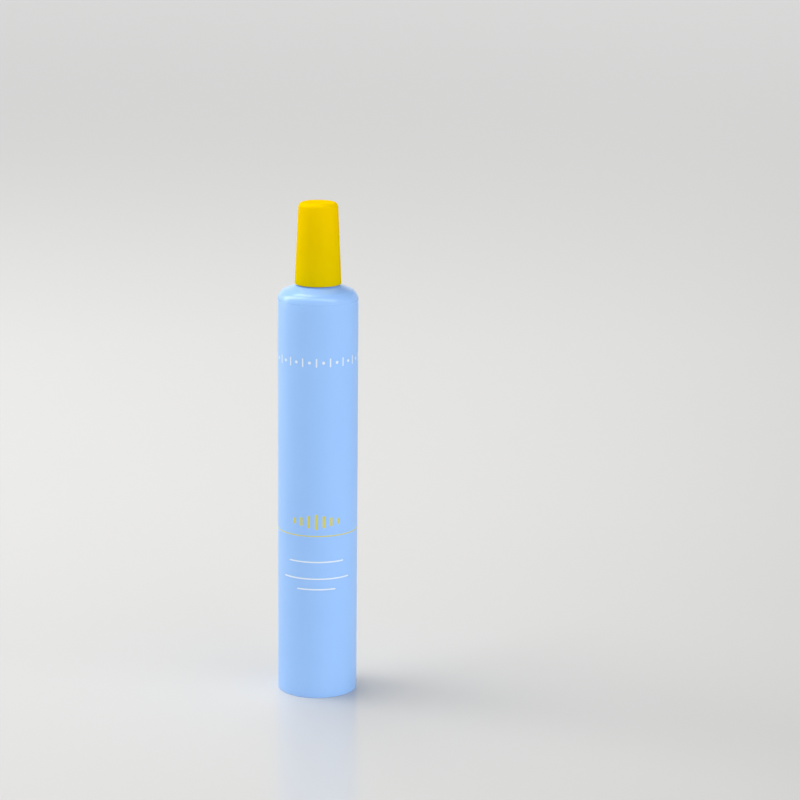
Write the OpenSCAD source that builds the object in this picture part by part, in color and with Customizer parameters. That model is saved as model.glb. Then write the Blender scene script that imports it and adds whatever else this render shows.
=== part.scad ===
// Squeeze tube with a long nozzle and a screw cap, standing on its open end.
// Millimetres, +Z up, origin at the middle of the open rim that it stands on.

/* [Sleeve] */
// Outer diameter of the sleeve
sleeve_d = 22; // [18:0.5:30]
// Wall of the sleeve
sleeve_wall = 0.5; // [0.4:0.05:0.8]
// Length of the sleeve, from the open rim to the weld line under the shoulder
sleeve_len = 110.5; // [60:0.1:160]

/* [Shoulder] */
// Radius of the rounding that runs from the sleeve into the shoulder
shoulder_round = 3.1; // [1.5:0.1:4.4]
// Slope of the shoulder, in degrees from level
shoulder_slope = 21; // [15:0.1:35]
// Wall of the shoulder
shoulder_wall = 1.2; // [0.8:0.1:1.8]
// Length of the skirt that is welded inside the sleeve
skirt_len = 3; // [2:0.1:6]
// Wall of the skirt
skirt_wall = 0.9; // [0.6:0.1:1.4]
// How far the sleeve's bore is stretched at its top, over the skirt
flare = 0.1; // [0.05:0.05:0.2]
// Length of the stretched bore below the skirt
flare_lead = 1; // [0.5:0.1:3]

/* [Neck and nozzle] */
// Diameter of the flange at the foot of the neck
flange_d = 9.6; // [8.6:0.1:11]
// Height of the flange's edge
flange_h = 1.1; // [0.6:0.1:2]
// Diameter of the neck under its thread
neck_d = 6.3; // [6:0.1:7.2]
// Height of the neck above the flange
neck_h = 7; // [5:0.1:10]
// Rounding round the top of the neck
neck_round = 0.25; // [0.1:0.05:0.3]
// Height of the thread's ridge above the neck
thread_depth = 0.4; // [0.3:0.05:0.6]
// Diameter of the nozzle where it leaves the neck
nozzle_base_d = 5.6; // [5:0.1:5.8]
// Diameter of the nozzle's tip, before its rounding
nozzle_tip_d = 4.5; // [4:0.1:5]
// Length of the nozzle
nozzle_len = 11.6; // [6:0.1:18]
// Rounding round the nozzle's tip
tip_round = 0.7; // [0.3:0.1:0.9]
// Diameter of the channel through the neck
channel_d = 3.4; // [2.6:0.1:3.6]
// Diameter of the orifice in the tip
orifice_d = 1.5; // [0.8:0.1:2]
// Length of the straight orifice
orifice_len = 2.4; // [1:0.1:4]

/* [Cap] */
// Wall of the cap at its mouth
cap_wall = 1.15; // [0.8:0.05:1.6]
// How much narrower the cap's top is than its rim
cap_taper = 2; // [0.5:0.1:3]
// Thickness of the cap's closed top
cap_top = 1.2; // [0.8:0.1:2.5]
// Rounding round the cap's top
cap_round = 1.4; // [0.4:0.1:2]
// Depth of the wide mouth above the flange
mouth_room = 1.6; // [0.6:0.1:3]

/* [Seal] */
// Thickness of the sealing wad in the cap's closed end
wad_h = 1.2; // [0.8:0.1:2]
// How far the wad reaches over the ledge that holds it
wad_lip = 0.3; // [0.2:0.05:0.5]

/* [Fits] */
// Gap between the cap's rim and the shoulder
seat_gap = 0.3; // [0.1:0.05:0.5]
// Gap round the flange inside the cap's mouth
mouth_gap = 0.4; // [0.3:0.05:0.8]
// Gap between the neck's thread and the bottom of the cap's thread
thread_gap = 0.15; // [0.1:0.05:0.3]
// Gap between the nozzle and the cap's bore
nozzle_gap = 0.35; // [0.3:0.05:0.6]
// Gap round the wad in its seat
wad_gap = 0.05; // [0.02:0.01:0.1]

/* [Hidden] */
$fn = 96;
// Overlap of cutting shapes past the face that they cut
past = 1;

// Radii of the sleeve and of the skirt inside it
sleeve_r = sleeve_d / 2;
sleeve_in_r = sleeve_r - sleeve_wall;
skirt_z = sleeve_len - skirt_len;
flare_z = skirt_z - flare_lead;
function flare_r(z) = sleeve_in_r + flare * (z - flare_z) / (sleeve_len - flare_z);
skirt_in_r = flare_r(skirt_z) - skirt_wall;

// Centre of the shoulder's rounding and the point where the slope leaves it
edge_c = [sleeve_r - shoulder_round, sleeve_len];
edge_end = edge_c + shoulder_round * [sin(shoulder_slope), cos(shoulder_slope)];

// Height of the shoulder's outer and inner slope at radius r
function slope_z(r) = edge_end[1] + (edge_end[0] - r) * tan(shoulder_slope);
function slope_in_z(r) = slope_z(r) - shoulder_wall / cos(shoulder_slope);

// Levels of the head, from the flange to the tip
flange_r = flange_d / 2;
flange_z = slope_z(flange_r);
neck_z = flange_z + flange_h;
nozzle_z = neck_z + neck_h;
tip_z = nozzle_z + nozzle_len;
neck_r = neck_d / 2;
base_r = nozzle_base_d / 2;
tip_r = nozzle_tip_d / 2;
channel_r = channel_d / 2;
orifice_r = orifice_d / 2;
nozzle_lean = atan((base_r - tip_r) / nozzle_len);

// Radii and levels inside the cap
mouth_r = flange_r + mouth_gap;
bore_r = neck_r + thread_depth + thread_gap;
seat_r = tip_r + nozzle_gap + wad_lip + wad_gap;
mouth_z = neck_z + mouth_room;
bore_z = nozzle_z + nozzle_gap;
seat_z = tip_z + wad_h;

// Outside of the cap
cap_r = mouth_r + cap_wall;
cap_top_r = cap_r - cap_taper / 2;
rim_z = slope_z(cap_r) + seat_gap;
cap_z = seat_z + cap_top;
cap_lean = atan((cap_r - cap_top_r) / (cap_z - rim_z));

// Rounding between a level top and a side that leans in by the angle lean:
// its centre, and the point where it meets the side
function round_c(r, z, lean, size) = [r + size * (tan(lean) - 1 / cos(lean)), z - size];
function round_end(r, z, lean, size) =
    round_c(r, z, lean, size) + size * [cos(lean), sin(lean)];

// Round bar of a profile: its top corner is rounded, its side leans in, its foot is level
module turned_post(foot_r, foot_z, top_r, top_z, lean, size) {
    centre = round_c(top_r, top_z, lean, size);
    polygon([
        [0, foot_z],
        [foot_r, foot_z],
        round_end(top_r, top_z, lean, size),
        centre,
        [centre[0], top_z],
        [0, top_z]
    ]);
    translate(centre) intersection() {
        circle(r = size);
        square(2 * size);
    }
}

// Extruded sleeve, open at its foot, stretched a little over the skirt at its top
module tube_sleeve() {
    color("LightSkyBlue") rotate_extrude() polygon([
        [sleeve_in_r, 0],
        [sleeve_r, 0],
        [sleeve_r, sleeve_len],
        [flare_r(sleeve_len), sleeve_len],
        [sleeve_in_r, flare_z]
    ]);
}

// Outline of the shoulder: rounding, slope and flange over the skirt
module shoulder_outline() {
    polygon([
        [0, skirt_z],
        [flare_r(skirt_z), skirt_z],
        [flare_r(sleeve_len), sleeve_len],
        edge_c,
        edge_end,
        [flange_r, flange_z],
        [flange_r, neck_z],
        [0, neck_z]
    ]);
    translate(edge_c) intersection() {
        circle(r = shoulder_round);
        square(2 * shoulder_round);
    }
}

// Room under the shoulder, the channel through the neck and the orifice
module head_hollow() {
    polygon([
        [0, skirt_z - past],
        [skirt_in_r, skirt_z - past],
        [skirt_in_r, slope_in_z(skirt_in_r)],
        [channel_r, slope_in_z(channel_r)],
        [channel_r, nozzle_z],
        [orifice_r, tip_z - orifice_len],
        [orifice_r, tip_z + past],
        [0, tip_z + past]
    ]);
}

// Moulded head: skirt, shoulder, flange, neck and nozzle in one piece
module tube_head() {
    color("SkyBlue") rotate_extrude() difference() {
        union() {
            shoulder_outline();
            turned_post(neck_r, neck_z, neck_r, nozzle_z, 0, neck_round);
            turned_post(base_r, nozzle_z, tip_r, tip_z, nozzle_lean, tip_round);
        }
        head_hollow();
    }
}

// Outside of the cap, with a rim that follows the shoulder's slope
module cap_outline() {
    turned_post(cap_r, rim_z, cap_top_r, cap_z, cap_lean, cap_round);
}

// Inside of the cap: mouth over the flange, thread bore, nozzle bore and wad seat
module cap_hollow() {
    polygon([
        [0, rim_z - past],
        [cap_r + past, rim_z - past],
        [cap_r + past, slope_z(cap_r + past) + seat_gap],
        [mouth_r, slope_z(mouth_r) + seat_gap],
        [mouth_r, mouth_z],
        [bore_r, mouth_z],
        [bore_r, bore_z],
        [base_r + nozzle_gap, bore_z],
        [tip_r + nozzle_gap, tip_z],
        [seat_r, tip_z],
        [seat_r, seat_z],
        [0, seat_z]
    ]);
}

// Screw cap
module screw_cap() {
    color("Gold") rotate_extrude() difference() {
        cap_outline();
        cap_hollow();
    }
}

// Soft disc in the cap's closed end that shuts the orifice
module seal_wad() {
    color("White") translate([0, 0, tip_z]) cylinder(r = seat_r - wad_gap, h = wad_h);
}

tube_sleeve();
tube_head();
screw_cap();
seal_wad();
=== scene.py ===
"""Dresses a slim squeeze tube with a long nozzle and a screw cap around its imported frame."""

import logging
import math
from dataclasses import dataclass, field, replace
from enum import Enum
from typing import Optional, Sequence, Union

import bmesh
import bpy
from mathutils import Matrix, Vector


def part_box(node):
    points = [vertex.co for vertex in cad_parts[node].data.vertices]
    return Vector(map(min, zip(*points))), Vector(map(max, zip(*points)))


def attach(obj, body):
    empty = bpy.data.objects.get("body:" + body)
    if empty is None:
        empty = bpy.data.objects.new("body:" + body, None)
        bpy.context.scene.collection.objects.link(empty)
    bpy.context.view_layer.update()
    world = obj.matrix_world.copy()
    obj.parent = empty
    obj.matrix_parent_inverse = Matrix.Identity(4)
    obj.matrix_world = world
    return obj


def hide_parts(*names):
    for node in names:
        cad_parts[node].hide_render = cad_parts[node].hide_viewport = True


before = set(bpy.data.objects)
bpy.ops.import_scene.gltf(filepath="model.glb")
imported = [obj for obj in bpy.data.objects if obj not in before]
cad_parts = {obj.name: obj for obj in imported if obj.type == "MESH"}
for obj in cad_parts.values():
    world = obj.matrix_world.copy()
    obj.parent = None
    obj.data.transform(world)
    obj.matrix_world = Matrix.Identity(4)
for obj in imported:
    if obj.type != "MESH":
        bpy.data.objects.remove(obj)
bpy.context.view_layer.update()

LOG = logging.getLogger("squeeze_tube")
MM = 0.001

# Facets round a turned piece, and along one turn of a thread
ROUND_STEPS = 160
THREAD_STEPS = 96
# Longest straight stretch of an outline before it is divided, and the chord of a rounding, in mm
ROW_MM = 3.0
CHORD_MM = 0.12
# Fewest chords of a rounding
FEWEST_CHORDS = 3
# Edges that turn by more than this stay crisp
CRISP_DEG = 38.0
# Points closer than this are one point, in mm
WELD_MM = 1e-4
# UV map that a finish can be baked through, and the empty edge round it
FLAT_MAP = "OFBake"
FLAT_EDGE = 0.004
# How much of that map a stretch inside a piece gets, against one on its outside
INSIDE_SHARE = 0.12
# Highest level of a screen colour
FULL_LEVEL = 255.0
# Screen colours' curve: where its straight foot ends, the foot's slope, and the curve's shift and power
FOOT_END = 0.04045
FOOT_SLOPE = 12.92
CURVE_SHIFT = 0.055
CURVE_POWER = 2.4
# Turn that brings a camera from looking straight down to looking level
LEVEL_DEG = 90.0

Colour = tuple[float, float, float]
Place = tuple[float, float, float]
Span = tuple[float, float]
Source = Union[bpy.types.NodeSocket, float, Sequence[float]]


class Body(Enum):
    """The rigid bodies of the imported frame."""

    TUBE = "tube"
    WAD = "wad"
    CAP = "cap"


class Node(Enum):
    """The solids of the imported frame."""

    SLEEVE = "tube_sleeve"
    HEAD = "tube_head"
    CAP = "screw_cap"
    WAD = "seal_wad"


class Slot(Enum):
    """The material slots of the record."""

    SLEEVE = "sleeve_plastic"
    HEAD = "head_plastic"
    CAP = "cap_plastic"
    WAD = "wad_foam"


class Ink(Enum):
    """The inks of the printed marks."""

    WHITE = "white"
    YELLOW = "yellow"


class RidgeSide(Enum):
    """Which way a thread's ridge stands: out from a neck or in from a bore."""

    OUTWARD = 1.0
    INWARD = -1.0


def linear(red: int, green: int, blue: int) -> Colour:
    """Turn a screen colour into the linear colour that shaders take.

    Args:
        red: Red from 0 to 255.
        green: Green from 0 to 255.
        blue: Blue from 0 to 255.

    Returns:
        The linear red, green and blue, each from 0 to 1.
    """
    shares = (value / FULL_LEVEL for value in (red, green, blue))
    return tuple(
        share / FOOT_SLOPE if share <= FOOT_END
        else ((share + CURVE_SHIFT) / (1.0 + CURVE_SHIFT)) ** CURVE_POWER
        for share in shares
    )


def in_mm(node: Node) -> tuple[Vector, Vector]:
    """Give a CAD node's lowest and highest corners in millimetres."""
    low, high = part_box(node.value)
    return low / MM, high / MM


# Outlines and meshes


def unbroken(places: Sequence[float], whole: float) -> list[float]:
    """Keep neighbouring places on a ring together across the point where the ring starts over.

    Args:
        places: The places, each from 0 to the whole.
        whole: The ring's length.

    Returns:
        The places, with those past that point counted on from the whole.
    """
    farthest = max(places)
    return [place + whole if farthest - place > whole / 2.0 else place for place in places]


def facets_round(spot: Vector) -> float:
    """Give how many facets, or half facets, a spot lies round the axis from the back."""
    turn = 0.5 + math.atan2(spot.x, -spot.y) / (2.0 * math.pi)
    return round(2.0 * turn * ROUND_STEPS) / 2.0 % ROUND_STEPS


@dataclass(frozen=True)
class Corner:
    """A corner of a turned outline, in millimetres.

    Attributes:
        r: How far it lies from the axis.
        z: Its height above the floor.
        rounding: The radius that rounds it, or 0 for a crisp corner.
    """

    r: float
    z: float
    rounding: float = 0.0


@dataclass(frozen=True)
class TurnedOutline:
    """An outline of rounded corners that is turned round the Z axis into a mesh.

    Attributes:
        corners: The corners in order, round the section of the piece.
        closed: Whether the last corner joins the first one, or both lie on the axis.
    """

    corners: Sequence[Corner]
    closed: bool

    def mesh(self) -> bmesh.types.BMesh:
        """Build the turned mesh.

        Returns:
            A closed mesh in metres with its faces pointing outwards and laid out flat on a map.
        """
        bm = bmesh.new()
        run = bm.verts.layers.float.new("run")
        points = [bm.verts.new((c.r * MM, 0.0, c.z * MM)) for c in self.corners]
        ends = points + points[:1] if self.closed else points
        for start, stop in zip(ends, ends[1:]):
            bm.edges.new((start, stop))
        for point, corner in zip(points, self.corners):
            if corner.rounding > 0.0:
                self._round(bm, point, corner.rounding)
        self._divide(bm)
        length = self._measure(bm, run)
        bmesh.ops.spin(
            bm, geom=bm.verts[:] + bm.edges[:], cent=(0, 0, 0), axis=(0, 0, 1), dvec=(0, 0, 0),
            angle=2.0 * math.pi, steps=ROUND_STEPS, use_merge=True, use_duplicate=False,
        )
        bmesh.ops.remove_doubles(bm, verts=bm.verts[:], dist=WELD_MM * MM)
        bmesh.ops.recalc_face_normals(bm, faces=bm.faces[:])
        self._lay_flat(bm, run, length)
        bm.verts.layers.float.remove(run)
        return bm

    @staticmethod
    def _round(bm: bmesh.types.BMesh, point: bmesh.types.BMVert, radius: float) -> None:
        """Round one corner of the outline by an arc that touches both its sides.

        Args:
            bm: The mesh that holds the outline.
            point: The corner.
            radius: The radius of the arc, in mm.
        """
        one, two = ((edge.other_vert(point).co - point.co).normalized() for edge in point.link_edges)
        opening = one.angle(two)
        arc = radius * (math.pi - opening)
        bmesh.ops.bevel(
            bm, geom=[point], offset=radius * MM / math.tan(opening / 2.0), offset_type="OFFSET",
            affect="VERTICES", segments=max(FEWEST_CHORDS, math.ceil(arc / CHORD_MM)), profile=0.5,
            material=-1, clamp_overlap=False,
        )

    @staticmethod
    def _divide(bm: bmesh.types.BMesh) -> None:
        """Divide the long straight stretches of the outline into even rows.

        Args:
            bm: The mesh that holds the outline.
        """
        for edge in bm.edges[:]:
            cuts = math.ceil(edge.calc_length() / (ROW_MM * MM)) - 1
            if cuts > 0:
                bmesh.ops.subdivide_edges(bm, edges=[edge], cuts=cuts)

    def _measure(self, bm: bmesh.types.BMesh, run: bmesh.types.BMLayerItem) -> float:
        """Note how far along the outline each of its points lies.

        A stretch that leads down is inside the piece, and counts short.

        Args:
            bm: The mesh that holds the outline.
            run: The layer that takes the distances.

        Returns:
            The length of the whole outline, counted in the same way.
        """
        first, second = (Vector((c.r * MM, 0.0, c.z * MM)) for c in self.corners[:2])
        start = point = min(bm.verts, key=lambda vert: (vert.co - first).length)
        edge = max(point.link_edges, key=lambda e: (e.other_vert(point).co - first).dot(second - first))
        length = 0.0
        while edge:
            ahead = edge.other_vert(point)
            inside = point.co.z - ahead.co.z > WELD_MM * MM
            length += edge.calc_length() * (INSIDE_SHARE if inside else 1.0)
            if ahead == start:
                break
            ahead[run] = length
            edge = next((other for other in ahead.link_edges if other != edge), None)
            point = ahead
        return length

    def _lay_flat(self, bm: bmesh.types.BMesh, run: bmesh.types.BMLayerItem, length: float) -> None:
        """Lay the turned mesh out flat, round the axis and along the outline, with its seam at the back.

        Args:
            bm: The turned mesh.
            run: The layer that holds how far along the outline each point lies.
            length: The length of the whole outline.
        """
        flat = bm.loops.layers.uv.new(FLAT_MAP)
        room = 1.0 - 2.0 * FLAT_EDGE
        for face in bm.faces:
            corners = [loop.vert for loop in face.loops]
            middle = face.calc_center_median()
            spots = [c.co if c.co.xy.length > WELD_MM * MM else middle for c in corners]
            across = unbroken([facets_round(spot) for spot in spots], ROUND_STEPS)
            along = [corner[run] for corner in corners]
            if self.closed:
                along = unbroken(along, length)
            for loop, facet, distance in zip(face.loops, across, along):
                loop[flat].uv = (
                    FLAT_EDGE + room * facet / ROUND_STEPS, FLAT_EDGE + room * distance / length)


@dataclass(frozen=True)
class ThreadSizes:
    """The section of a screw thread's ridge, in millimetres.

    Attributes:
        depth: How far the ridge stands from its wall.
        pitch: How far it climbs in a turn.
        foot_width: Its width where it is sunk in the wall.
        crest_width: Its width at its crest.
        crest_rounding: The rounding of its crest.
        sunk: How deep its foot is sunk in the wall.
        fade_turns: The part of a turn in which each of its ends sinks into the wall.
    """

    depth: float = 0.4
    pitch: float = 1.2
    foot_width: float = 0.78
    crest_width: float = 0.34
    crest_rounding: float = 0.09
    sunk: float = 0.1
    fade_turns: float = 0.18


@dataclass(frozen=True)
class ThreadRidge:
    """A screw thread's ridge, swept along its helix.

    Attributes:
        sizes: The ridge's section.
        side: Whether it stands out from a neck or in from a bore.
        root_r: The radius of its wall, in mm.
        start_z: The height of its lower end, in mm.
        turns: How many turns it makes.
    """

    sizes: ThreadSizes
    side: RidgeSide
    root_r: float
    start_z: float
    turns: float

    def mesh(self) -> bmesh.types.BMesh:
        """Sweep the ridge.

        Returns:
            A closed mesh in metres whose two ends fade into the wall.
        """
        bm = bmesh.new()
        self._section(bm)
        count = len(bm.verts)
        steps = round(self.turns * THREAD_STEPS)
        bmesh.ops.spin(
            bm, geom=bm.verts[:] + bm.edges[:], cent=(0, 0, 0), axis=(0, 0, 1),
            dvec=(0, 0, self.sizes.pitch * MM / THREAD_STEPS), angle=self.turns * 2.0 * math.pi,
            steps=steps, use_merge=False, use_duplicate=False,
        )
        bm.verts.ensure_lookup_table()
        for ring in range(steps + 1):
            self._fade(bm, bm.verts[ring * count:(ring + 1) * count], min(ring, steps - ring))
        bmesh.ops.holes_fill(bm, edges=[edge for edge in bm.edges if edge.is_boundary], sides=0)
        bmesh.ops.recalc_face_normals(bm, faces=bm.faces[:])
        return bm

    def _section(self, bm: bmesh.types.BMesh) -> None:
        """Draw the ridge's section, with a rounded crest.

        Args:
            bm: The empty mesh to draw it in.
        """
        s = self.sizes
        foot_r = self.root_r - self.side.value * s.sunk
        crest_r = self.root_r + self.side.value * s.depth
        corners = (
            (foot_r, -s.foot_width / 2.0),
            (crest_r, -s.crest_width / 2.0),
            (crest_r, s.crest_width / 2.0),
            (foot_r, s.foot_width / 2.0),
        )
        points = [bm.verts.new((r * MM, 0.0, (self.start_z + z) * MM)) for r, z in corners]
        for start, stop in zip(points, points[1:] + points[:1]):
            bm.edges.new((start, stop))
        bmesh.ops.bevel(
            bm, geom=points[1:3], offset=s.crest_rounding * MM, offset_type="OFFSET",
            affect="VERTICES", segments=FEWEST_CHORDS, profile=0.5, material=-1, clamp_overlap=False,
        )

    def _fade(self, bm: bmesh.types.BMesh, verts: list[bmesh.types.BMVert], from_end: int) -> None:
        """Sink one section of the ridge into the wall near the thread's ends.

        Args:
            bm: The mesh that holds the ridge.
            verts: The section's points.
            from_end: How many sections lie between it and the nearer end.
        """
        s = self.sizes
        share = from_end / (s.fade_turns * THREAD_STEPS)
        if share >= 1.0:
            return
        sink = (1.0 - math.sin(share * math.pi / 2.0)) * (s.depth + s.sunk / 2.0)
        factor = 1.0 - self.side.value * sink / self.root_r
        bmesh.ops.scale(bm, vec=(factor, factor, 1.0), verts=verts)


def piece_from(bm: bmesh.types.BMesh, name: str, material: bpy.types.Material) -> bpy.types.Object:
    """Make a finished piece of a mesh, smooth on its curves and crisp at its corners.

    Args:
        bm: The mesh, in metres in the frame's axes. It is freed.
        name: The piece's name.
        material: The piece's finish.

    Returns:
        The piece, at the origin.
    """
    for face in bm.faces:
        face.smooth = True
    mesh = bpy.data.meshes.new(name)
    bm.to_mesh(mesh)
    bm.free()
    mesh.set_sharp_from_angle(angle=math.radians(CRISP_DEG))
    mesh.materials.append(material)
    piece = bpy.data.objects.new(name, mesh)
    bpy.context.scene.collection.objects.link(piece)
    return piece


# Shader nodes


class NodeBench:
    """Adds nodes to one node tree and links them."""

    def __init__(self, tree: bpy.types.NodeTree) -> None:
        """Work on the tree of a material, of the world or of a node group."""
        self.tree = tree

    def add(self, kind: str, **settings: object) -> bpy.types.Node:
        """Add a node.

        Args:
            kind: The node's type without its ShaderNode prefix.
            **settings: The node's own properties.

        Returns:
            The new node.
        """
        node = self.tree.nodes.new(f"ShaderNode{kind}")
        for key, value in settings.items():
            setattr(node, key, value)
        return node

    def feed(self, socket: bpy.types.NodeSocket, source: Source) -> None:
        """Link a socket to another one, or set it to a plain value.

        Args:
            socket: The input.
            source: An output socket, a number or a list of numbers.
        """
        if isinstance(source, bpy.types.NodeSocket):
            self.tree.links.new(source, socket)
        else:
            socket.default_value = source

    def math(self, operation: str, *sources: Source) -> bpy.types.NodeSocket:
        """Work out a number.

        Args:
            operation: The Math node's operation.
            *sources: Its inputs, sockets or numbers.

        Returns:
            The result's socket.
        """
        node = self.add("Math", operation=operation)
        for socket, source in zip(node.inputs, sources):
            self.feed(socket, source)
        return node.outputs[0]

    def fit(self, value: Source, span: Span, to: tuple[Source, Source],
            smooth: bool = False) -> bpy.types.NodeSocket:
        """Map a number from one span to another, held at its ends.

        Args:
            value: The number.
            span: The start and end that it is mapped from.
            to: The results at the start and at the end.
            smooth: Whether the result eases in and out.

        Returns:
            The result's socket.
        """
        node = self.add("MapRange", interpolation_type="SMOOTHSTEP" if smooth else "LINEAR")
        names = ("Value", "From Min", "From Max", "To Min", "To Max")
        for name, source in zip(names, (value, *span, *to)):
            self.feed(node.inputs[name], source)
        return node.outputs["Result"]

    def mix(self, share: Source, one: Source, two: Source) -> bpy.types.NodeSocket:
        """Mix two colours.

        Args:
            share: How much of the second colour shows, from 0 to 1.
            one: The first colour.
            two: The second colour.

        Returns:
            The mixed colour's socket.
        """
        node = self.add("Mix", data_type="RGBA")
        self.feed(node.inputs["Factor"], share)
        for name, source in (("A", one), ("B", two)):
            socket = next(s for s in node.inputs if s.name == name and s.type == "RGBA")
            self.feed(socket, source if isinstance(source, bpy.types.NodeSocket) else (*source, 1.0))
        return next(s for s in node.outputs if s.type == "RGBA")

    def noise(self, vector: Source, scale: Source, detail: float, rough: float) -> bpy.types.NodeSocket:
        """Add a noise pattern.

        Args:
            vector: Where it is read.
            scale: How many of its cells there are to a metre.
            detail: How many finer layers it has.
            rough: How strong the finer layers are.

        Returns:
            The pattern's value.
        """
        node = self.add("TexNoise")
        self.feed(node.inputs["Vector"], vector)
        self.feed(node.inputs["Scale"], scale)
        self.feed(node.inputs["Detail"], detail)
        self.feed(node.inputs["Roughness"], rough)
        return node.outputs["Fac"]

    def streaks(self, vector: Source, cells: Place, detail: float) -> bpy.types.NodeSocket:
        """Add a noise pattern that is drawn out along an axis.

        Args:
            vector: Where it is read.
            cells: How many of its cells there are to a metre along each axis.
            detail: How many finer layers it has.

        Returns:
            The pattern's value.
        """
        node = self.add("Mapping")
        self.feed(node.inputs["Vector"], vector)
        self.feed(node.inputs["Scale"], cells)
        return self.noise(node.outputs["Vector"], 1.0, detail, rough=0.5)

    def group(self, tree: bpy.types.NodeTree, **sources: Source) -> bpy.types.Node:
        """Place a node group.

        Args:
            tree: The group.
            **sources: Its inputs by name, with _ for a space.

        Returns:
            The group's node.
        """
        node = self.add("Group", node_tree=tree)
        for name, source in sources.items():
            self.feed(node.inputs[name.replace("_", " ")], source)
        return node


class GroupBench(NodeBench):
    """Builds a shader node group with named inputs and outputs."""

    def __init__(self, name: str, inputs: dict[str, str], outputs: Sequence[str]) -> None:
        """Start the group.

        Args:
            name: The group's name.
            inputs: Its inputs and their socket types.
            outputs: Its outputs, each a number.
        """
        super().__init__(bpy.data.node_groups.new(name, "ShaderNodeTree"))
        sockets = self.tree.interface
        for label, kind in inputs.items():
            sockets.new_socket(name=label, in_out="INPUT", socket_type=f"NodeSocket{kind}")
        for label in outputs:
            sockets.new_socket(name=label, in_out="OUTPUT", socket_type="NodeSocketFloat")
        self.taken = self.tree.nodes.new("NodeGroupInput").outputs
        self.given = self.tree.nodes.new("NodeGroupOutput").inputs


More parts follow.
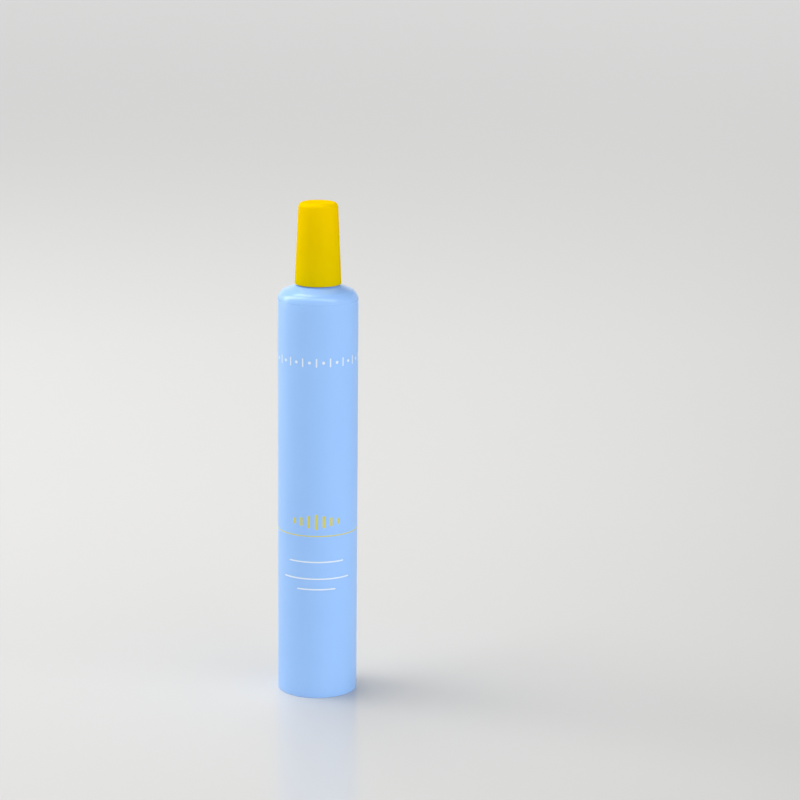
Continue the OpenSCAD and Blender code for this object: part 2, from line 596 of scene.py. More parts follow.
@dataclass
class SurfaceEffects:
    """The node groups that the finishes share, built once.

    Attributes:
        swell_cells: The cells of the grain's wide swells against those of its fine grain.
        swell_height: The height of the swells against the fine grain's.
        cloud_span: The span of the mottle's noise that is spread over its swing.
        smudge_cells: How many smudges there are to a metre.
        smudge_span: The span of the smudges' noise that shows.
        hair_cells: How many hairlines there are to a metre along each axis.
        hair_share: The part of the rubbing that is hairlines.
    """

    swell_cells: float = 0.17
    swell_height: float = 0.8
    cloud_span: Span = (0.15, 0.85)
    smudge_cells: float = 70.0
    smudge_span: Span = (0.25, 0.75)
    hair_cells: Place = (5200.0, 5200.0, 260.0)
    hair_share: float = 0.25

    def __post_init__(self) -> None:
        """Build every group."""
        self.grain = self._grain()
        self.mottle = self._mottle()
        self.rubbing = self._rubbing()
        self.barrel = self._barrel()
        self.mark = self._mark()

    def _grain(self) -> bpy.types.NodeTree:
        """Build the grain of a moulded surface.

        Returns:
            A group that gives a height from fine grain and wide swells.
        """
        bench = GroupBench("moulded_grain", {"Vector": "Vector", "Cells": "Float"}, ["Height"])
        place, cells = bench.taken["Vector"], bench.taken["Cells"]
        fine = bench.noise(place, cells, detail=3.0, rough=0.55)
        wide = bench.math("MULTIPLY", cells, self.swell_cells)
        swell = bench.noise(place, wide, detail=2.0, rough=0.5)
        bench.feed(bench.given["Height"], bench.math("MULTIPLY_ADD", swell, self.swell_height, fine))
        return bench.tree

    def _mottle(self) -> bpy.types.NodeTree:
        """Build the slow unevenness of a plastic's colour.

        Returns:
            A group that gives a share that swings round one half.
        """
        bench = GroupBench(
            "slow_mottle", {"Vector": "Vector", "Cells": "Float", "Swing": "Float"}, ["Share"])
        cloud = bench.noise(bench.taken["Vector"], bench.taken["Cells"], detail=2.0, rough=0.5)
        swing = bench.taken["Swing"]
        ends = (bench.math("SUBTRACT", 0.5, swing), bench.math("ADD", 0.5, swing))
        bench.feed(bench.given["Share"], bench.fit(cloud, self.cloud_span, ends, smooth=True))
        return bench.tree

    def _rubbing(self) -> bpy.types.NodeTree:
        """Build the gloss that handling leaves in smudges and hairlines.

        Returns:
            A group that gives a roughness between the matt one and the rubbed one.
        """
        bench = GroupBench(
            "handling_rub", {"Vector": "Vector", "Matt": "Float", "Rubbed": "Float"}, ["Roughness"])
        place = bench.taken["Vector"]
        smudge = bench.noise(place, self.smudge_cells, detail=1.0, rough=0.4)
        smudged = bench.fit(smudge, self.smudge_span, (0.0, 1.0 - self.hair_share), smooth=True)
        hairs = bench.streaks(place, self.hair_cells, detail=2.0)
        rubbed = bench.math("MULTIPLY_ADD", hairs, self.hair_share, smudged)
        ends = (bench.taken["Matt"], bench.taken["Rubbed"])
        bench.feed(bench.given["Roughness"], bench.fit(rubbed, (0.0, 1.0), ends))
        return bench.tree

    @staticmethod
    def _barrel() -> bpy.types.NodeTree:
        """Build the place on a barrel.

        Returns:
            A group that gives the millimetres round the barrel from its front, up it, and from its axis.
        """
        bench = GroupBench(
            "barrel_place", {"Vector": "Vector", "Radius": "Float"}, ["Around", "Up", "Out"])
        split = bench.add("SeparateXYZ")
        bench.feed(split.inputs[0], bench.taken["Vector"])
        x, y, z = split.outputs
        angle = bench.math("ARCTAN2", x, bench.math("MULTIPLY", y, -1.0))
        bench.feed(bench.given["Around"], bench.math("MULTIPLY", angle, bench.taken["Radius"]))
        bench.feed(bench.given["Up"], bench.math("DIVIDE", z, MM))
        squares = bench.math("MULTIPLY_ADD", x, x, bench.math("MULTIPLY", y, y))
        bench.feed(bench.given["Out"], bench.math("DIVIDE", bench.math("SQRT", squares), MM))
        return bench.tree

    @staticmethod
    def _mark() -> bpy.types.NodeTree:
        """Build a printed mark, in millimetres.

        Returns:
            A group that gives the mask of a box with rounded corners.
        """
        names = ("Across", "Up", "Half Width", "Half Height", "Corner", "Blur")
        bench = GroupBench("printed_mark", {name: "Float" for name in names}, ["Mask"])
        corner = bench.taken["Corner"]
        past = []
        for place, half in (("Across", "Half Width"), ("Up", "Half Height")):
            inner = bench.math("SUBTRACT", bench.taken[half], corner)
            past.append(bench.math("SUBTRACT", bench.math("ABSOLUTE", bench.taken[place]), inner))
        beyond = [bench.math("MAXIMUM", side, 0.0) for side in past]
        square = bench.math("MULTIPLY", beyond[1], beyond[1])
        outside = bench.math("SQRT", bench.math("MULTIPLY_ADD", beyond[0], beyond[0], square))
        inside = bench.math("MINIMUM", bench.math("MAXIMUM", *past), 0.0)
        distance = bench.math("SUBTRACT", bench.math("ADD", outside, inside), corner)
        share = bench.math("DIVIDE", distance, bench.taken["Blur"])
        bench.feed(bench.given["Mask"], bench.fit(share, (-1.0, 1.0), (1.0, 0.0), smooth=True))
        return bench.tree


# Finishes


@dataclass(frozen=True)
class DressedPlastic:
    """A plastic's material, with the nodes and sockets that a print on it works with.

    Attributes:
        material: The material.
        bench: The bench of its node tree.
        shader: Its shader.
        bump: The node that turns its height into a bump.
        place: The place on the piece.
        colour: Its colour.
        roughness: Its roughness.
        height: The height of its grain.
    """

    material: bpy.types.Material
    bench: NodeBench
    shader: bpy.types.Node
    bump: bpy.types.Node
    place: bpy.types.NodeSocket
    colour: bpy.types.NodeSocket
    roughness: bpy.types.NodeSocket
    height: bpy.types.NodeSocket


@dataclass(frozen=True)
class PaintedRimShade:
    """Painted shade on a plastic: its colour turns darker and greener towards its foot, most at the
    foot.

    Attributes:
        tint: The darker, greener colour of the painted shade.
        most: How far it turns at its foot.
        foot_mm: The height of its foot.
        top_mm: The height where the tint has faded away.
    """

    tint: Colour
    most: float
    foot_mm: float
    top_mm: float

    def over(self, colour: bpy.types.NodeSocket, bench: NodeBench,
             place: bpy.types.NodeSocket) -> bpy.types.NodeSocket:
        """Paint the shade over a plastic's colour.

        Args:
            colour: The colour.
            bench: The bench of the plastic's material.
            place: The place on the piece.

        Returns:
            The tinted colour.
        """
        split = bench.add("SeparateXYZ")
        bench.feed(split.inputs[0], place)
        heights = (self.foot_mm * MM, self.top_mm * MM)
        share = bench.fit(split.outputs["Z"], heights, (self.most, 0.0))
        return bench.mix(share, colour, self.tint)


@dataclass(frozen=True)
class PlasticFinish:
    """A plastic's colour, gloss and moulded texture.

    Attributes:
        name: The material's name.
        colour: Its colour.
        shade: The colour of its darker clouds.
        matt: Its roughness where nobody has touched it.
        rubbed: Its roughness where handling has rubbed it.
        grain_cells: How many cells of grain there are to a metre.
        grain_depth_mm: How deep the grain is.
        mottle_cells: How many clouds there are to a metre.
        mottle_swing: How far the colour swings towards its two ends, 0.5 for all the way.
        sheen: The tint of its reflections.
        gloss: How strongly it reflects, 0.5 for a usual plastic.
        lustre: How much of its own colour its reflections take on.
        painted_rim_shade: The painted shade that darkens it towards its foot, if it has one.
        spill: The colour of the light that it throws on what lies next to it, if not its own.
    """

    name: str
    colour: Colour
    shade: Colour
    matt: float
    rubbed: float
    grain_cells: float
    grain_depth_mm: float
    mottle_cells: float
    mottle_swing: float = 0.5
    sheen: Colour = (1.0, 1.0, 1.0)
    gloss: float = 0.5
    lustre: float = 0.0
    painted_rim_shade: Optional[PaintedRimShade] = None
    spill: Optional[Colour] = None

    def material(self, effects: SurfaceEffects) -> bpy.types.Material:
        """Build the finish with the shared node groups and give its material."""
        return self.dressed(effects).material

    def dressed(self, effects: SurfaceEffects) -> DressedPlastic:
        """Build the finish.

        Args:
            effects: The shared node groups.

        Returns:
            The material with its parts at hand.
        """
        material = bpy.data.materials.new(self.name)
        material.use_nodes = True
        bench = NodeBench(material.node_tree)
        shader = material.node_tree.nodes["Principled BSDF"]
        place = bench.add("TexCoord").outputs["Object"]
        mottle = bench.group(
            effects.mottle, Vector=place, Cells=self.mottle_cells, Swing=self.mottle_swing)
        colour = bench.mix(mottle.outputs["Share"], self.shade, self.colour)
        # Painted shade: darker and greener towards the foot, where the finish has it
        if self.painted_rim_shade:
            colour = self.painted_rim_shade.over(colour, bench, place)
        rub = bench.group(effects.rubbing, Vector=place, Matt=self.matt, Rubbed=self.rubbed)
        grain = bench.group(effects.grain, Vector=place, Cells=self.grain_cells)
        bump = bench.add("Bump")
        bench.feed(bump.inputs["Distance"], self.grain_depth_mm * MM)
        bench.feed(bump.inputs["Height"], grain.outputs["Height"])
        if self.spill:
            bounced = bench.add("LightPath").outputs["Is Diffuse Ray"]
            colour = bench.mix(bounced, colour, self.spill)
        bench.feed(shader.inputs["Base Color"], colour)
        bench.feed(shader.inputs["Roughness"], rub.outputs["Roughness"])
        bench.feed(shader.inputs["Normal"], bump.outputs["Normal"])
        shader.inputs["Specular Tint"].default_value = (*self.sheen, 1.0)
        shader.inputs["Specular IOR Level"].default_value = self.gloss
        shader.inputs["Metallic"].default_value = self.lustre
        return DressedPlastic(
            material, bench, shader, bump, place, colour, rub.outputs["Roughness"],
            grain.outputs["Height"])


@dataclass(frozen=True)
class PrintedMark:
    """A printed mark with round ends on the barrel, or a row of them round it, in millimetres.

    Attributes:
        ink: Its ink.
        up: The height of its middle.
        width: Its width round the barrel.
        height: Its height.
        across: How far its middle lies round the barrel from the front.
        repeats: How many of them go round the barrel, or 0 for one alone.
    """

    ink: Ink
    up: float
    width: float
    height: float
    across: float = 0.0
    repeats: int = 0

    def mask(self, bench: NodeBench, effects: SurfaceEffects, spot: bpy.types.Node,
             barrel_r: float, blur: float) -> bpy.types.NodeSocket:
        """Lay the mark on the barrel.

        Args:
            bench: The bench of the barrel's material.
            effects: The shared node groups.
            spot: The node that gives the place on the barrel.
            barrel_r: The barrel's radius.
            blur: Half the width of the ink's soft edge.

        Returns:
            A mask that is 1 where the ink is.
        """
        across = bench.math("SUBTRACT", spot.outputs["Around"], self.across)
        if self.repeats:
            half = math.pi * barrel_r / self.repeats
            across = bench.math("WRAP", across, half, -half)
        up = bench.math("SUBTRACT", spot.outputs["Up"], self.up)
        node = bench.group(
            effects.mark, Across=across, Up=up, Half_Width=self.width / 2.0,
            Half_Height=self.height / 2.0, Corner=min(self.width, self.height) / 2.0, Blur=blur)
        return node.outputs["Mask"]


@dataclass(frozen=True)
class LabelLayout:
    """The printed design, in millimetres: a ring of ticks and dots, bars over a ring line, and rules.

    Attributes:
        ring_up: The height of the ring of ticks and dots.
        ring_count: How many ticks go round the barrel, with as many dots between them.
        tick_width: The width of a tick.
        tick_height: The height of a tick.
        dot_size: The width of a dot.
        line_up: The height of the line round the barrel.
        line_height: The thickness of that line.
        bars_up: The height of the middle of the bars.
        bars_a_side: How many bars stand on each side of the middle one.
        bar_step: How far apart the bars stand.
        bar_width: The width of a bar.
        bar_height: The height of the middle bar.
        bar_drop: How much shorter each bar is than its inner neighbour.
        rule_height: The thickness of a rule.
        rules: The height and the width of each rule.
    """

    ring_up: float = 95.0
    ring_count: int = 18
    tick_width: float = 0.38
    tick_height: float = 2.4
    dot_size: float = 0.8
    line_up: float = 46.6
    line_height: float = 0.3
    bars_up: float = 50.6
    bars_a_side: int = 3
    bar_step: float = 2.1
    bar_width: float = 0.8
    bar_height: float = 4.4
    bar_drop: float = 0.9
    rule_height: float = 0.36
    rules: Sequence[Span] = ((39.2, 16.0), (34.4, 20.0), (31.4, 11.0))

    def marks(self, barrel_r: float) -> list[PrintedMark]:
        """Lay out the design on a barrel.

        Args:
            barrel_r: The barrel's radius.

        Returns:
            Every mark of the design.
        """
        half_way = math.pi * barrel_r / self.ring_count
        girth = 2.0 * math.pi * barrel_r + self.line_height
        sides = range(-self.bars_a_side, self.bars_a_side + 1)
        return [
            PrintedMark(
                Ink.WHITE, self.ring_up, self.tick_width, self.tick_height, repeats=self.ring_count),
            PrintedMark(
                Ink.WHITE, self.ring_up, self.dot_size, self.dot_size, half_way, self.ring_count),
            PrintedMark(Ink.YELLOW, self.line_up, girth, self.line_height),
            *(
                PrintedMark(
                    Ink.YELLOW, self.bars_up, self.bar_width,
                    self.bar_height - self.bar_drop * abs(side), self.bar_step * side)
                for side in sides
            ),
            *(PrintedMark(Ink.WHITE, up, width, self.rule_height) for up, width in self.rules),
        ]


@dataclass(frozen=True)
class PrintedSleeveFinish:
    """The sleeve's plastic with the faint lines of its die and a design printed on its outside.

    Attributes:
        plastic: The plastic under the print.
        inks: The colour of each ink.
        layout: The printed design.
        cover: How much of the plastic the ink hides where it is thickest.
        thin_spots: How much less it hides where it is thinnest.
        speckle_cells: How many thick and thin spots there are to a metre.
        speckle_span: The span of the spots' noise that is spread from thin to thick.
        ink_roughness: The roughness of the ink.
        blur_mm: Half the width of the ink's soft edge.
        die_cells: How many cells of the die's lines there are to a metre along each axis.
        die_share: The height of the die's lines against the grain's.
    """

    plastic: PlasticFinish
    inks: dict[Ink, Colour]
    layout: LabelLayout = LabelLayout()
    cover: float = 0.92
    thin_spots: float = 0.05
    speckle_cells: float = 14000.0
    speckle_span: Span = (0.3, 0.7)
    ink_roughness: float = 0.3
    blur_mm: float = 0.03
    die_cells: Place = (1500.0, 1500.0, 12.5)
    die_share: float = 0.9

    def material(self, effects: SurfaceEffects, barrel_r: float, wall: float) -> bpy.types.Material:
        """Build the finish.

        Args:
            effects: The shared node groups.
            barrel_r: The sleeve's outer radius, in mm.
            wall: The sleeve's wall, in mm.

        Returns:
            The material.
        """
        dressed = self.plastic.dressed(effects)
        bench = dressed.bench
        lines = bench.streaks(dressed.place, self.die_cells, detail=3.0)
        height = bench.math("MULTIPLY_ADD", lines, self.die_share, dressed.height)
        bench.feed(dressed.bump.inputs["Height"], height)
        spot = bench.group(effects.barrel, Vector=dressed.place, Radius=barrel_r)
        outside = bench.math("GREATER_THAN", spot.outputs["Out"], barrel_r - wall / 2.0)
        speckle = bench.noise(dressed.place, self.speckle_cells, detail=2.0, rough=0.6)
        cover = bench.fit(speckle, self.speckle_span, (self.cover - self.thin_spots, self.cover))
        marks = self.layout.marks(barrel_r)
        colour, roughness = dressed.colour, dressed.roughness
        for ink, tint in self.inks.items():
            inked = [m.mask(bench, effects, spot, barrel_r, self.blur_mm) for m in marks if m.ink is ink]
            union = inked[0]
            for other in inked[1:]:
                union = bench.math("MAXIMUM", union, other)
            mask = bench.math("MULTIPLY", outside, union)
            colour = bench.mix(bench.math("MULTIPLY", mask, cover), colour, tint)
            roughness = bench.fit(mask, (0.0, 1.0), (roughness, self.ink_roughness))
        bench.feed(dressed.shader.inputs["Base Color"], colour)
        bench.feed(dressed.shader.inputs["Roughness"], roughness)
        return dressed.material


# Pieces


@dataclass(frozen=True)
class SleeveSizes:
    """The sizes of the sleeve that the head's skirt is fitted to, in millimetres.

    Attributes:
        wall: The sleeve's wall.
        flare: How far its bore is stretched at the weld line, over the skirt.
        flare_length: The length of the stretched bore.
    """

    wall: float = 0.5
    flare: float = 0.1
    flare_length: float = 4.0

    @property
    def barrel_r(self) -> float:
        """The sleeve's outer radius."""
        return in_mm(Node.SLEEVE)[1].x

    @property
    def weld_z(self) -> float:
        """The height of the weld line, where the sleeve ends and the shoulder starts."""
        return in_mm(Node.SLEEVE)[1].z

    def bore_r(self, drop: float) -> float:
        """Give the radius of the stretched bore at a drop below the weld line."""
        return self.barrel_r - self.wall + self.flare * (1.0 - drop / self.flare_length)


@dataclass(frozen=True)
class HeadSizes:
    """The sizes that both the head and the cap are fitted to, in millimetres.

    Attributes:
        sleeve: The sleeve under the head.
        thread: The thread of the neck and of the cap.
        shoulder_rounding: The rounding from the sleeve into the shoulder.
        slope_deg: The shoulder's slope, from level.
        shoulder_wall: The shoulder's wall.
        flange_r: The radius of the flange at the neck's foot.
        flange_height: The height of the flange's edge.
        neck_r: The radius of the neck under its thread.
        neck_height: The height of the neck above the flange.
        nozzle_base_r: The nozzle's radius where it leaves the neck.
        nozzle_tip_r: The nozzle's radius at its tip.
        thread_start: How far above the flange the thread starts.
    """

    sleeve: SleeveSizes = SleeveSizes()
    thread: ThreadSizes = ThreadSizes()
    shoulder_rounding: float = 3.1
    slope_deg: float = 21.0
    shoulder_wall: float = 1.2
    flange_r: float = 4.8
    flange_height: float = 1.1
    neck_r: float = 3.15
    neck_height: float = 7.0
    nozzle_base_r: float = 2.8
    nozzle_tip_r: float = 2.25
    thread_start: float = 0.75

    def slope_z(self, r: float) -> float:
        """Give the height of the shoulder's slope.

        Args:
            r: How far from the axis.

        Returns:
            The height, for the slope drawn on past its ends.
        """
        slope = math.radians(self.slope_deg)
        edge_r = self.sleeve.barrel_r - self.shoulder_rounding * (1.0 - math.sin(slope))
        edge_z = self.sleeve.weld_z + self.shoulder_rounding * math.cos(slope)
        return edge_z + (edge_r - r) * math.tan(slope)

    def under_slope_z(self, r: float) -> float:
        """Give the height of the shoulder's underside at a distance from the axis."""
        return self.slope_z(r) - self.shoulder_wall / math.cos(math.radians(self.slope_deg))

    @property
    def neck_z(self) -> float:
        """The height of the flange's top, where the neck starts."""
        return self.slope_z(self.flange_r) + self.flange_height

    @property
    def nozzle_z(self) -> float:
        """The height of the neck's top, where the nozzle starts."""
        return self.neck_z + self.neck_height


@dataclass
class SubAssembly:
    """What each sub-assembly of the tube has in common: the list of its finished pieces."""

    pieces: list[bpy.types.Object] = field(default_factory=list, init=False)

    def keep(self, piece: bpy.types.Object, body: Body, slot: Slot, node: Optional[Node] = None) -> None:
        """Fix a piece to its body and hide the CAD node that it stands for.

        Args:
            piece: The piece.
            body: The body that it moves with.
            slot: The record's slot that it takes its finish from; not used.
            node: The CAD node that it stands for, if any.
        """
        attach(piece, body.value)
        if node:
            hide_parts(node.value)
        self.pieces.append(piece)


@dataclass
class Sleeve(SubAssembly):
    """The extruded sleeve: a thin tube, open at its foot and stretched over the head's skirt.

    Attributes:
        sizes: The sleeve's sizes.
        rim_rounding: The rounding of the rim that it stands on, in mm.
        weld_rounding: The rounding at the weld line, in mm.
    """

    sizes: SleeveSizes = SleeveSizes()
    rim_rounding: float = 0.14
    weld_rounding: float = 0.03

    def build(self, finish: PrintedSleeveFinish, effects: SurfaceEffects) -> None:
        """Build and dress the sleeve.

        Args:
            finish: The printed plastic.
            effects: The shared node groups.
        """
        s = self.sizes
        foot_z = in_mm(Node.SLEEVE)[0].z
        outline = TurnedOutline([
            Corner(s.barrel_r - s.wall, foot_z, self.rim_rounding),
            Corner(s.barrel_r, foot_z, self.rim_rounding),
            Corner(s.barrel_r, s.weld_z, self.weld_rounding),
            Corner(s.bore_r(0.0), s.weld_z),
            Corner(s.bore_r(s.flare_length), s.weld_z - s.flare_length),
        ], closed=True)
        material = finish.material(effects, s.barrel_r, s.wall)
        shell = piece_from(outline.mesh(), "sleeve_shell", material)
        self.keep(shell, Body.TUBE, Slot.SLEEVE, Node.SLEEVE)


@dataclass
class Head(SubAssembly):
    """The moulded head: skirt, shoulder, flange, threaded neck and nozzle, in millimetres.

    Attributes:
        sizes: The sizes that the cap is fitted to as well.
        skirt_wall: The wall of the skirt inside the sleeve.
        channel_r: The radius of the channel through the neck.
        orifice_r: The radius of the orifice in the nozzle's tip.
        orifice_length: The length of the straight orifice.
        tip_rounding: The rounding of the nozzle's tip.
        small_rounding: The rounding of the other corners.
        weld_rounding: The rounding at the weld line.
        thread_turns: How many turns the neck's thread makes.
    """

    sizes: HeadSizes = HeadSizes()
    skirt_wall: float = 0.9
    channel_r: float = 1.7
    orifice_r: float = 0.75
    orifice_length: float = 2.4
    tip_rounding: float = 0.7
    small_rounding: float = 0.25
    weld_rounding: float = 0.03
    thread_turns: float = 4.1

    def build(self, finish: PlasticFinish, effects: SurfaceEffects) -> None:
        """Build and dress the head and its thread.

        Args:
            finish: The head's plastic.
            effects: The shared node groups.
        """
        s = self.sizes
        material = finish.material(effects)
        moulding = piece_from(self._outline().mesh(), "head_moulding", material)
        self.keep(moulding, Body.TUBE, Slot.HEAD, Node.HEAD)
        start_z = s.neck_z + s.thread_start
        ridge = ThreadRidge(s.thread, RidgeSide.OUTWARD, s.neck_r, start_z, self.thread_turns)
        thread = piece_from(ridge.mesh(), "neck_thread", material)
        self.keep(thread, Body.TUBE, Slot.HEAD)

    def _outline(self) -> TurnedOutline:
        """Draw the head's section.

        Returns:
            The section, up its outside and down through the channel.
        """
        s = self.sizes
        low, high = in_mm(Node.HEAD)
        barrel_r, weld_z = s.sleeve.barrel_r, s.sleeve.weld_z
        skirt_r = s.sleeve.bore_r(weld_z - low.z)
        skirt_in_r = skirt_r - self.skirt_wall
        small = self.small_rounding
        return TurnedOutline([
            Corner(skirt_in_r, low.z, small),
            Corner(skirt_r, low.z, small),
            Corner(s.sleeve.bore_r(0.0), weld_z),
            Corner(barrel_r, weld_z, self.weld_rounding),
            Corner(barrel_r, s.slope_z(barrel_r), s.shoulder_rounding - self.weld_rounding),
            Corner(s.flange_r, s.slope_z(s.flange_r), small),
            Corner(s.flange_r, s.neck_z, small),
            Corner(s.neck_r, s.neck_z, small),
            Corner(s.neck_r, s.nozzle_z, small),
            Corner(s.nozzle_base_r, s.nozzle_z, small / 2.0),
            Corner(s.nozzle_tip_r, high.z, self.tip_rounding),
            Corner(self.orifice_r, high.z, small / 2.0),
            Corner(self.orifice_r, high.z - self.orifice_length),
            Corner(self.channel_r, s.nozzle_z),
            Corner(self.channel_r, s.under_slope_z(self.channel_r), small),
            Corner(skirt_in_r, s.under_slope_z(skirt_in_r), small),
        ], closed=True)


@dataclass
class Cap(SubAssembly):
    """The screw cap and the sealing wad in its closed end, in millimetres.

    Attributes:
        sizes: The sizes of the head that it fits.
        taper: How much smaller the radius of its top is than that of its rim.
        seat_gap: The gap between its rim and the shoulder.
        mouth_gap: The gap round the flange.
        mouth_room: The depth of the wide mouth above the flange.
        thread_gap: The gap between the neck's thread and the cap's bore.
        nozzle_gap: The gap round the nozzle.
        wad_gap: The gap round the wad.
        top_rounding: The rounding round its top.
        rim_rounding: The rounding of its rim.
        small_rounding: The rounding of its inner corners.
        thread_lead: How many turns above the neck's thread its own starts, half a turn out of step.
        thread_turns: How many turns its thread makes.
        wad_rounding: The rounding of the wad's edges.
    """

    sizes: HeadSizes = HeadSizes()
    taper: float = 1.0
    seat_gap: float = 0.3
    mouth_gap: float = 0.4
    mouth_room: float = 1.6
    thread_gap: float = 0.15
    nozzle_gap: float = 0.35
    wad_gap: float = 0.05
    top_rounding: float = 1.4
    rim_rounding: float = 0.22
    small_rounding: float = 0.18
    thread_lead: float = 1.5
    thread_turns: float = 3.3
    wad_rounding: float = 0.12

    @property
    def bore_r(self) -> float:
        """The radius of the bore that carries the cap's thread."""
        return self.sizes.neck_r + self.sizes.thread.depth + self.thread_gap

    def build(self, finish: PlasticFinish, foam: PlasticFinish, effects: SurfaceEffects) -> None:
        """Build and dress the cap, its thread and the wad.

        Args:
            finish: The cap's plastic.
            foam: The wad's foam.
            effects: The shared node groups.
        """
        s = self.sizes
        material = finish.material(effects)
        moulding = piece_from(self._outline().mesh(), "cap_moulding", material)
        self.keep(moulding, Body.CAP, Slot.CAP, Node.CAP)
        start_z = s.neck_z + s.thread_start + self.thread_lead * s.thread.pitch
        ridge = ThreadRidge(s.thread, RidgeSide.INWARD, self.bore_r, start_z, self.thread_turns)
        thread = piece_from(ridge.mesh(), "cap_thread", material)
        self.keep(thread, Body.CAP, Slot.CAP)
        wad = piece_from(self._wad_outline().mesh(), "foam_wad", foam.material(effects))
        self.keep(wad, Body.WAD, Slot.WAD, Node.WAD)

    def _outline(self) -> TurnedOutline:
        """Draw the cap's section.

        Returns:
            The section, down its inside from the wad's seat and up its outside.
        """
        s = self.sizes
        low, high = in_mm(Node.CAP)
        wad_high = in_mm(Node.WAD)[1]
        tip_z = in_mm(Node.HEAD)[1].z
        seat_r = wad_high.x + self.wad_gap
        mouth_r = s.flange_r + self.mouth_gap
        mouth_z = s.neck_z + self.mouth_room
        bore_z = s.nozzle_z + self.nozzle_gap
        small = self.small_rounding
        return TurnedOutline([
            Corner(0.0, wad_high.z),
            Corner(seat_r, wad_high.z),
            Corner(seat_r, tip_z),
            Corner(s.nozzle_tip_r + self.nozzle_gap, tip_z),
            Corner(s.nozzle_base_r + self.nozzle_gap, bore_z, small),
            Corner(self.bore_r, bore_z),
            Corner(self.bore_r, mouth_z, small),
            Corner(mouth_r, mouth_z, small),
            Corner(mouth_r, s.slope_z(mouth_r) + self.seat_gap, small),
            Corner(high.x, low.z, self.rim_rounding),
            Corner(high.x - self.taper, high.z, self.top_rounding),
            Corner(0.0, high.z),
        ], closed=False)

    def _wad_outline(self) -> TurnedOutline:
        """Draw the wad's section.

        Returns:
            The section, from the middle of its underside to the middle of its top.
        """
        low, high = in_mm(Node.WAD)
        return TurnedOutline([
            Corner(0.0, low.z),
            Corner(high.x, low.z, self.wad_rounding),
            Corner(high.x, high.z, self.wad_rounding),
            Corner(0.0, high.z),
        ], closed=False)


# Studio


@dataclass(frozen=True)
class SoftLamp:
    """A rectangular lamp of the studio, in metres and watts, that the camera doesn't see.

    Attributes:
        name: The lamp's name.
        place: Where it hangs.
        aim: The point that it is turned to.
        width: Its width.
        height: Its height.
        watts: Its power.
        roll_deg: How far it is turned round its own aim.
        colour: The colour of its light.
        mirrored: Whether glossy surfaces mirror it.
        lighting: Whether matt surfaces take its light.
    """

    name: str
    place: Place
    aim: Place
    width: float
    height: float
    watts: float
    roll_deg: float = 0.0
    colour: Colour = (1.0, 1.0, 1.0)
    mirrored: bool = True
    lighting: bool = True

    def hang(self) -> None:
        """Hang the lamp and turn it to its aim."""
        data = bpy.data.lights.new(self.name, "AREA")
        data.shape = "RECTANGLE"
        data.size = self.width
        data.size_y = self.height
        data.energy = self.watts
        data.color = self.colour
        lamp = bpy.data.objects.new(self.name, data)
        lamp.visible_camera = False
        lamp.visible_glossy = self.mirrored
        lamp.visible_diffuse = self.lighting
        bpy.context.scene.collection.objects.link(lamp)
        way = Vector(self.aim) - Vector(self.place)
        turn = way.to_track_quat("-Z", "Y").to_matrix().to_4x4()
        roll = Matrix.Rotation(math.radians(self.roll_deg), 4, "Z")
        lamp.matrix_world = Matrix.Translation(self.place) @ turn @ roll


# Light of the lamps on the left
WARM_WHITE: Colour = (1.0, 0.98, 0.93)


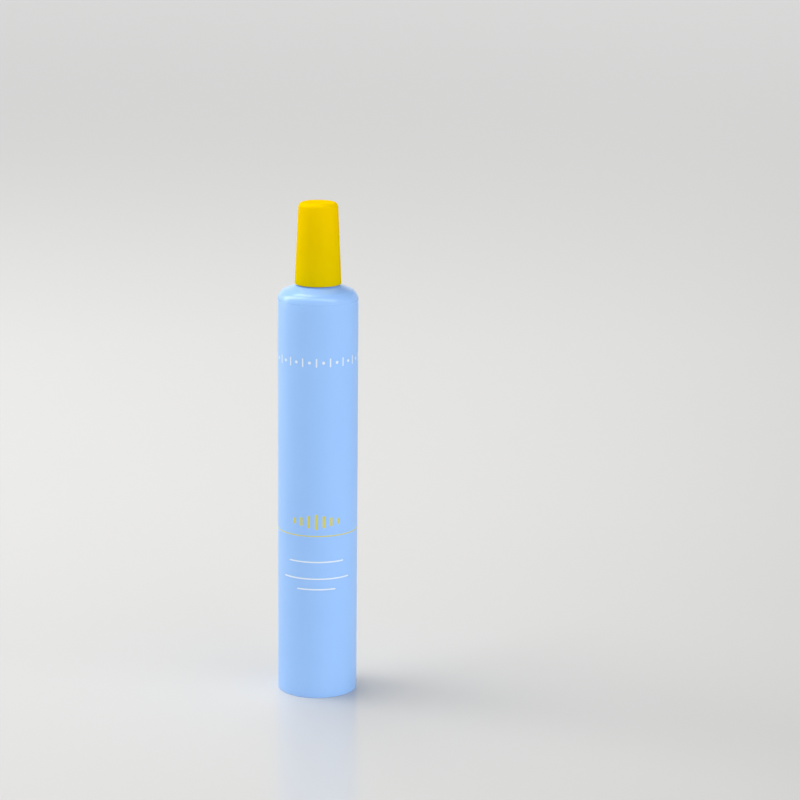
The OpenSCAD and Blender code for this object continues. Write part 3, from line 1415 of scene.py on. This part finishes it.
@dataclass(frozen=True)
class Studio:
    """The floor, the lamps, the surrounding light and the camera, in metres.

    Attributes:
        lens_mm: The camera's focal length.
        sensor_mm: The width of its picture.
        pitch_deg: How far it looks down.
        roll_deg: How far it is tilted sideways.
        aim: The point in the middle of its picture.
        distance: How far it stands from that point.
        floor_size: The length of the floor's sides.
        floor_colour: The floor's colour.
        floor_roughness: The floor's roughness.
        sky_colour: The colour of the surrounding light.
        horizon_level: How bright that light is at the horizon.
        zenith_level: How bright it is overhead.
        ceiling_span: The heights, on a sphere of radius 1, between which it falls off.
        dark_way: The direction in which a darker part of the room lies.
        dark_level: How bright that part is against the rest.
        dark_span: The nearness to that direction over which it darkens.
        lamps: The lamps.
    """

    lens_mm: float = 111.18
    sensor_mm: float = 36.0
    pitch_deg: float = 12.9
    roll_deg: float = 0.552
    aim: Place = (0.02253, 0.0, 0.08257)
    distance: float = 0.67765
    floor_size: float = 14.0
    floor_colour: Colour = (0.665, 0.665, 0.662)
    floor_roughness: float = 0.16
    sky_colour: Colour = (1.0, 1.0, 0.995)
    horizon_level: float = 0.97
    zenith_level: float = 0.36
    ceiling_span: Span = (0.1, 0.75)
    dark_way: Place = (0.62, 0.52, 0.59)
    dark_level: float = 0.35
    dark_span: Span = (0.66, 0.92)
    lamps: Sequence[SoftLamp] = (
        SoftLamp(
            "left_strip", place=(-0.77, 0.06, 0.78), aim=(0.0, 0.0, 0.11), width=1.2, height=0.36,
            watts=6.4, roll_deg=48.5, colour=WARM_WHITE),
        SoftLamp(
            "left_box", place=(-0.95, 0.3, 0.2), aim=(0.0, 0.0, 0.07), width=0.4, height=0.4,
            watts=0.6, colour=WARM_WHITE),
        SoftLamp(
            "top_box", place=(-0.25, 0.3, 1.0), aim=(0.0, 0.0, 0.11), width=0.6, height=0.6,
            watts=4.4),
        SoftLamp(
            "right_fill", place=(4.56, -3.77, 1.15), aim=(0.0, 0.0, 0.07), width=6.8, height=2.2,
            watts=182.0, mirrored=False),
        SoftLamp(
            "front_card", place=(0.225, -0.44, 0.78), aim=(0.0, 0.0, 0.113), width=1.2, height=0.28,
            watts=3.8, roll_deg=-34.0, lighting=False),
    )

    def build(self) -> None:
        """Set up the studio."""
        scene = bpy.context.scene
        scene.view_settings.view_transform = "Standard"
        self._floor()
        self._sky()
        for lamp in self.lamps:
            lamp.hang()
        scene.camera = self._camera()

    def _floor(self) -> None:
        """Lay the pale glossy floor."""
        bm = bmesh.new()
        bmesh.ops.create_grid(bm, x_segments=1, y_segments=1, size=self.floor_size / 2.0)
        mesh = bpy.data.meshes.new("studio_floor")
        bm.to_mesh(mesh)
        bm.free()
        material = bpy.data.materials.new("studio_floor")
        material.use_nodes = True
        shader = material.node_tree.nodes["Principled BSDF"]
        shader.inputs["Base Color"].default_value = (*self.floor_colour, 1.0)
        shader.inputs["Roughness"].default_value = self.floor_roughness
        mesh.materials.append(material)
        floor = bpy.data.objects.new("studio_floor", mesh)
        bpy.context.scene.collection.objects.link(floor)

    def _sky(self) -> None:
        """Surround the scene with pale light that falls off overhead and towards one dark corner."""
        world = bpy.data.worlds.new("studio_sky")
        world.use_nodes = True
        bench = NodeBench(world.node_tree)
        sky = world.node_tree.nodes["Background"]
        way = bench.add("TexCoord").outputs["Generated"]
        split = bench.add("SeparateXYZ")
        bench.feed(split.inputs[0], way)
        levels = (self.horizon_level, self.zenith_level)
        level = bench.fit(split.outputs["Z"], self.ceiling_span, levels, smooth=True)
        near = bench.add("VectorMath", operation="DOT_PRODUCT")
        bench.feed(near.inputs[0], way)
        bench.feed(near.inputs[1], self.dark_way)
        corner = bench.fit(near.outputs["Value"], self.dark_span, (1.0, self.dark_level), smooth=True)
        bench.feed(sky.inputs["Color"], (*self.sky_colour, 1.0))
        bench.feed(sky.inputs["Strength"], bench.math("MULTIPLY", level, corner))
        bpy.context.scene.world = world

    def _camera(self) -> bpy.types.Object:
        """Set the camera up at the photograph's angle.

        Returns:
            The camera.
        """
        data = bpy.data.cameras.new("camera")
        data.lens = self.lens_mm
        data.sensor_width = self.sensor_mm
        camera = bpy.data.objects.new("camera", data)
        bpy.context.scene.collection.objects.link(camera)
        turn = Matrix.Rotation(math.radians(LEVEL_DEG - self.pitch_deg), 4, "X")
        turn = turn @ Matrix.Rotation(math.radians(self.roll_deg), 4, "Z")
        back = turn.to_3x3() @ Vector((0.0, 0.0, self.distance))
        camera.matrix_world = Matrix.Translation(Vector(self.aim) + back) @ turn
        return camera


# The tube's own finishes


SATIN_BLUE = PlasticFinish(
    name="satin_blue", colour=linear(155, 199, 255), shade=linear(152, 196, 254), matt=0.34,
    rubbed=0.285, grain_cells=5200.0, grain_depth_mm=0.004, mottle_cells=55.0)
GLOSS_BLUE = replace(SATIN_BLUE, name="gloss_blue", matt=0.2, rubbed=0.17)
# Heights of the cap's rim and top
CAP_FOOT_MM, CAP_TOP_MM = (corner.z for corner in in_mm(Node.CAP))
# Painted shade: the cap's yellow turns darker and greener from its top down to its rim, where the
# shoulder shades it; its own colour is set lighter to suit its top
PAINTED_RIM_SHADE = PaintedRimShade(
    tint=linear(204, 191, 4), most=0.5, foot_mm=CAP_FOOT_MM, top_mm=CAP_TOP_MM)
SATIN_YELLOW = PlasticFinish(
    name="satin_yellow", colour=linear(242, 203, 2), shade=linear(236, 196, 0), matt=0.4,
    rubbed=0.32, grain_cells=4200.0, grain_depth_mm=0.006, mottle_cells=90.0,
    sheen=(1.0, 0.8, 0.0), gloss=0.0, lustre=0.05, painted_rim_shade=PAINTED_RIM_SHADE, spill=(0.5, 0.55, 0.7))
WHITE_FOAM = PlasticFinish(
    name="white_foam", colour=linear(240, 240, 236), shade=linear(226, 226, 220), matt=0.85,
    rubbed=0.7, grain_cells=3600.0, grain_depth_mm=0.05, mottle_cells=600.0)
PRINTED_BLUE = PrintedSleeveFinish(
    SATIN_BLUE, {Ink.WHITE: linear(238, 244, 250), Ink.YELLOW: linear(214, 204, 52)})


def main() -> None:
    """Build the tube's sub-assemblies and the studio, and report each piece."""
    logging.basicConfig(level=logging.INFO, format="%(name)s: %(message)s")
    effects = SurfaceEffects()
    sleeve, head, cap = Sleeve(), Head(), Cap()
    sleeve.build(PRINTED_BLUE, effects)
    head.build(GLOSS_BLUE, effects)
    cap.build(SATIN_YELLOW, WHITE_FOAM, effects)
    for part in (sleeve, head, cap):
        for piece in part.pieces:
            LOG.info("%s: %d faces", piece.name, len(piece.data.polygons))
    Studio().build()


if __name__ == "__main__":
    main()
